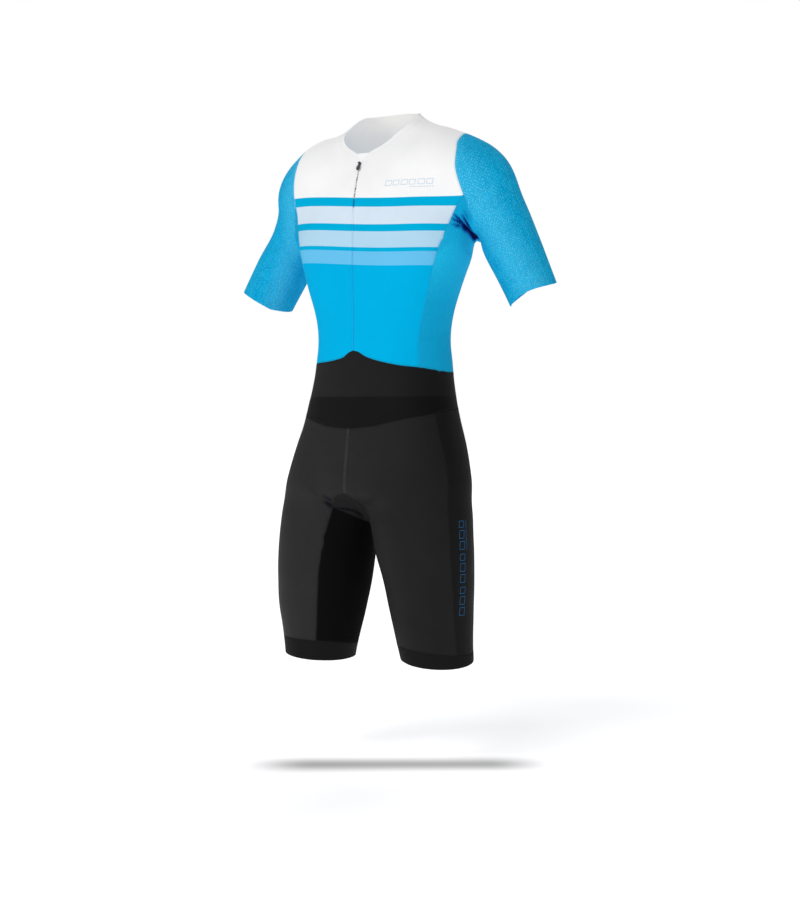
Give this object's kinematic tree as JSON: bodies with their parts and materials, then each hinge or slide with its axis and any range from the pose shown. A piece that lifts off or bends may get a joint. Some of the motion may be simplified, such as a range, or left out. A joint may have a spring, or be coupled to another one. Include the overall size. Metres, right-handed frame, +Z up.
{
  "type": "triathlon suit",
  "caption": "Short-sleeved triathlon race suit with a front zip, a coloured top, a black waist and black shorts with leg bands, in the hollow form it has when worn.",
  "frame": {"origin": "the middle of the wearer's neck base, level with the high points of the shoulders, where the wearer carries the suit", "axes": "+Z up, -Y the wearer's front with the zip, +X the wearer's left"},
  "size_m": [0.6876, 0.2462, 1.0163],
  "materials": {
    "cyan_lycra": "smooth stretch knit, matt, with a white, pale blue and blue band print over the chest and shoulders",
    "cyan_knit": "textured aero knit",
    "black_lycra": "smooth stretch knit with a faint sheen",
    "inner_leg_lycra": "smooth matt stretch knit",
    "leg_band": "elastic knit band",
    "zip_tape": "woven tape",
    "zip_teeth": "fine coil teeth",
    "zip_guard": "soft pale guard",
    "zip_metal": "dark, slightly glossy"
  },
  "bodies": {
    "suit": {"front_left": "cyan_lycra", "front_right": "cyan_lycra", "side_left": "cyan_lycra", "side_right": "cyan_lycra", "back": "cyan_lycra", "sleeve_left": "cyan_knit", "sleeve_right": "cyan_knit", "waist_front": "black_lycra", "waist_back": "black_lycra", "short_front_left": "black_lycra", "short_front_right": "black_lycra", "short_back_left": "black_lycra", "short_back_right": "black_lycra", "inner_leg_left": "inner_leg_lycra", "inner_leg_right": "inner_leg_lycra", "crotch_gusset": "black_lycra", "leg_band_left": "leg_band", "leg_band_right": "leg_band", "zip_tape": "zip_tape", "zip_coil": "zip_teeth", "zip_guard": "zip_guard", "zip_slider": "zip_metal"},
    "pull": {"zip_pull": "zip_metal"}
  },
  "joints": [
    {"name": "zip_pull_hinge", "type": "hinge", "parent": "suit", "child": "pull", "pos_m": [0, -0.08, -0.08965], "axis": [-1, 0, 0], "range_deg": [0, 150]}
  ]
}
